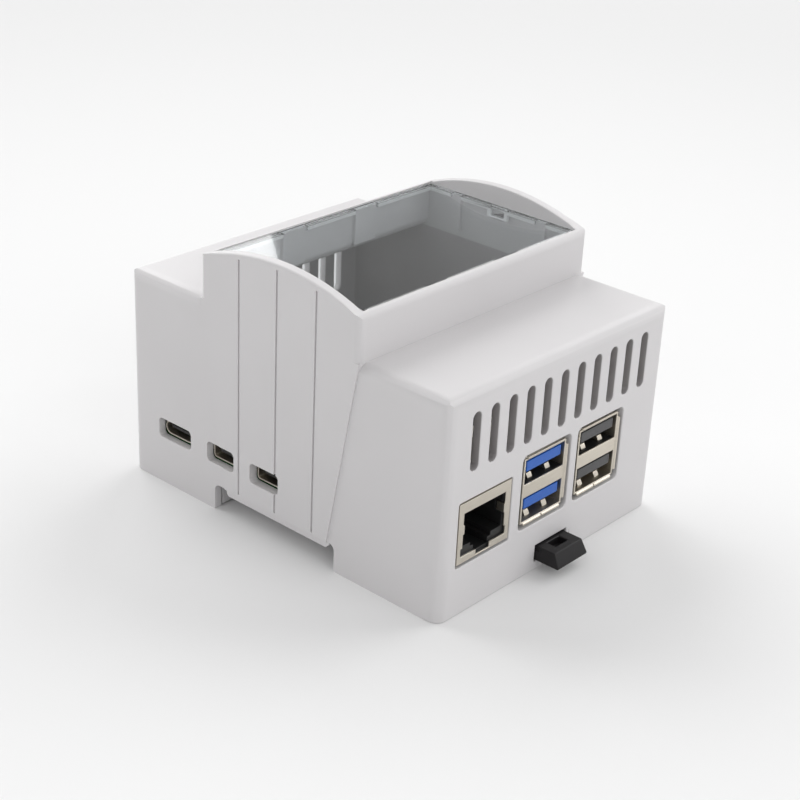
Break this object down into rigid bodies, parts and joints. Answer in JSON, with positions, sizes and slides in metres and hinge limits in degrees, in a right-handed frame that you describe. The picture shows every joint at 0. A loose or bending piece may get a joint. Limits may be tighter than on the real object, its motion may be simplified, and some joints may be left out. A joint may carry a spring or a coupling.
{
  "type": "din rail enclosure",
  "caption": "Grey plastic enclosure for a small computer board: clips on a 35 mm rail, with stepped nose, clear top cover, vents, jack cut-outs and black sliding latch.",
  "frame": {"origin": "middle of the face that rests on the mounting rail, on the body's centre planes", "axes": "+X across the rail towards the end face with the jacks and the latch, +Y along the rail away from the small sockets, +Z away from the rail towards the clear cover"},
  "size_m": [0.0959, 0.071, 0.0618],
  "materials": {
    "light_grey_abs": "satin",
    "clear_polycarbonate": "clear, polished",
    "black_latch_plastic": "fine matt",
    "circuit_laminate": "solder mask",
    "nickel_screw": "bright",
    "tinned_sheet": "satin",
    "nickel_can": "satin",
    "plated_lid": "satin",
    "gold_contact": "bright",
    "blue_tongue_plastic": "satin",
    "dark_tongue_plastic": "satin",
    "black_connector_plastic": "satin",
    "brown_clamp_plastic": "satin",
    "cream_connector_plastic": "satin",
    "status_lens": "clear",
    "ferrite": "fine grain",
    "ceramic": "satin",
    "chip_resin": "fine grain"
  },
  "bodies": {
    "enclosure": {"hood": "light_grey_abs", "base_plate": "light_grey_abs", "board": "circuit_laminate", "board_screw_1": "nickel_screw", "board_screw_2": "nickel_screw", "board_screw_3": "nickel_screw", "board_screw_4": "nickel_screw", "jack_shell": "tinned_sheet", "jack_insert": "black_connector_plastic", "jack_contacts": "gold_contact", "blue_stack_shell": "tinned_sheet", "blue_stack_core": "black_connector_plastic", "blue_stack_tongues": "blue_tongue_plastic", "blue_stack_contacts": "gold_contact", "black_stack_shell": "tinned_sheet", "black_stack_core": "black_connector_plastic", "black_stack_tongues": "dark_tongue_plastic", "black_stack_contacts": "gold_contact", "power_socket_shell": "tinned_sheet", "power_socket_tongue": "black_connector_plastic", "video_socket_1_shell": "tinned_sheet", "video_socket_1_tongue": "black_connector_plastic", "video_socket_2_shell": "tinned_sheet", "video_socket_2_tongue": "black_connector_plastic", "processor_base": "chip_resin", "processor_lid": "plated_lid", "memory_chip": "chip_resin", "bridge_chip": "chip_resin", "power_chip": "chip_resin", "radio_can": "nickel_can", "header_block": "black_connector_plastic", "header_pins": "gold_contact", "ribbon_socket_1": "black_connector_plastic", "ribbon_socket_2": "black_connector_plastic", "ribbon_socket_3": "black_connector_plastic", "fan_socket": "cream_connector_plastic", "serial_socket": "cream_connector_plastic", "clock_socket": "cream_connector_plastic", "button_case": "tinned_sheet", "status_light": "status_lens", "inductors": "ferrite", "capacitors": "ceramic", "crystals": "nickel_can"},
    "cover": {"clear_cover": "clear_polycarbonate"},
    "latch": {"rail_latch": "black_latch_plastic"},
    "clamp_1": {"ribbon_clamp_1": "brown_clamp_plastic"},
    "clamp_2": {"ribbon_clamp_2": "brown_clamp_plastic"},
    "clamp_3": {"ribbon_clamp_3": "brown_clamp_plastic"},
    "button": {"button_cap": "black_connector_plastic"}
  },
  "joints": [
    {"name": "cover_lift", "type": "slide", "parent": "enclosure", "child": "cover", "axis": [0, 0, 1], "range_m": [0, 0.03]},
    {"name": "latch_pull", "type": "slide", "parent": "enclosure", "child": "latch", "axis": [1, 0, 0], "range_m": [0, 0.004], "stiffness_N_per_m": 800, "springref_m": -0.002},
    {"name": "clamp_1_lift", "type": "slide", "parent": "enclosure", "child": "clamp_1", "axis": [0, 0, 1], "range_m": [0, 0.0008]},
    {"name": "clamp_2_lift", "type": "slide", "parent": "enclosure", "child": "clamp_2", "axis": [0, 0, 1], "range_m": [0, 0.0008]},
    {"name": "clamp_3_lift", "type": "slide", "parent": "enclosure", "child": "clamp_3", "axis": [0, 0, 1], "range_m": [0, 0.0008]},
    {"name": "button_press", "type": "slide", "parent": "enclosure", "child": "button", "axis": [1, 0, 0], "range_m": [0, 0.00025], "stiffness_N_per_m": 300}
  ]
}
